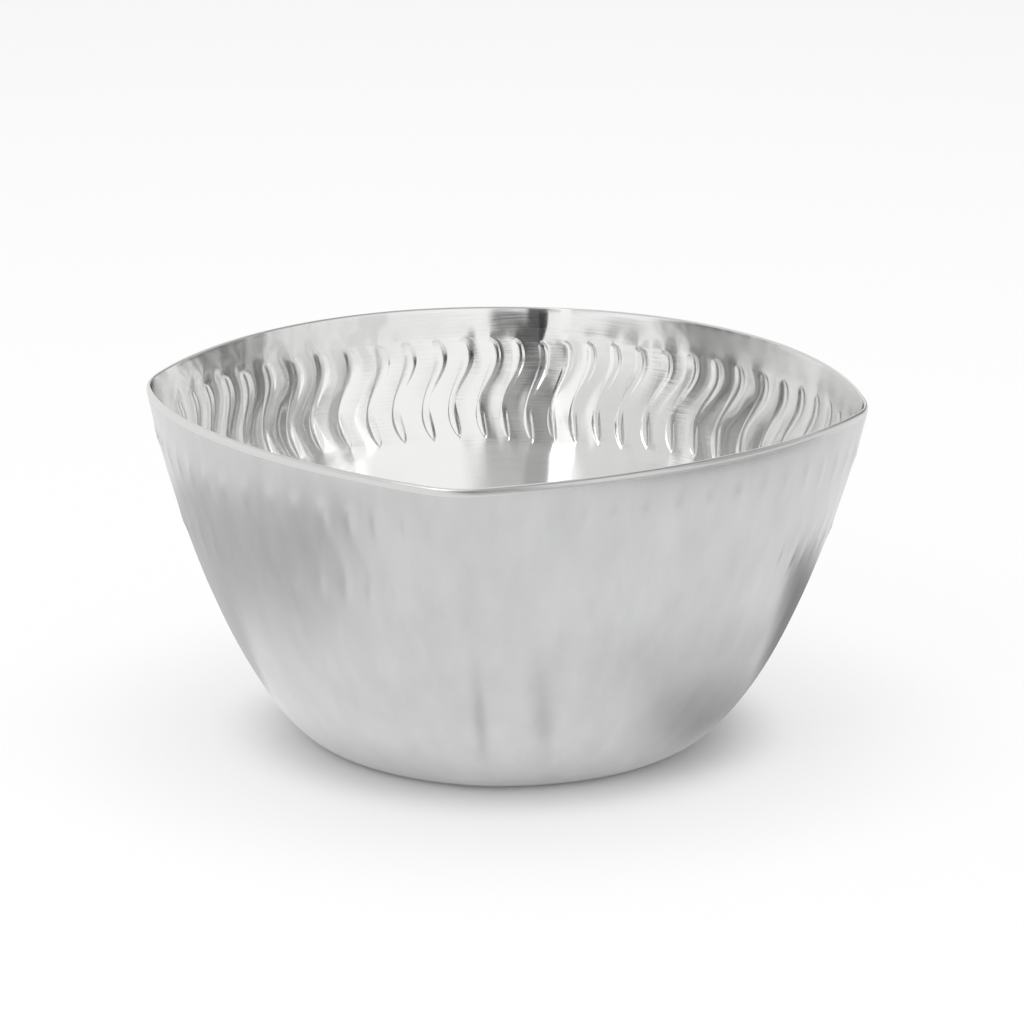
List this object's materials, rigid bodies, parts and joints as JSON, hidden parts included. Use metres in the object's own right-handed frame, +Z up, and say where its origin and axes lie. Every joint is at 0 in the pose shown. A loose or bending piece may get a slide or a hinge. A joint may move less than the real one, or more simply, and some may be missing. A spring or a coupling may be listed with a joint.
{
  "type": "square bowl",
  "caption": "Small deep bowl of sheet silver with a round flat base, a bowed square mouth with soft corners and a band of S-shaped flutes inside, for serving or offering food.",
  "frame": {"origin": "middle of the flat base, on the surface the bowl stands on", "axes": "+Z up through the mouth; +X and +Y point at the middles of two sides, and the corners lie between them"},
  "size_m": [0.1116, 0.1116, 0.0591],
  "materials": {
    "silver": "polished inside and on the rim, satin outside"
  },
  "bodies": {
    "root": {"bowl": "silver"}
  },
  "joints": []
}
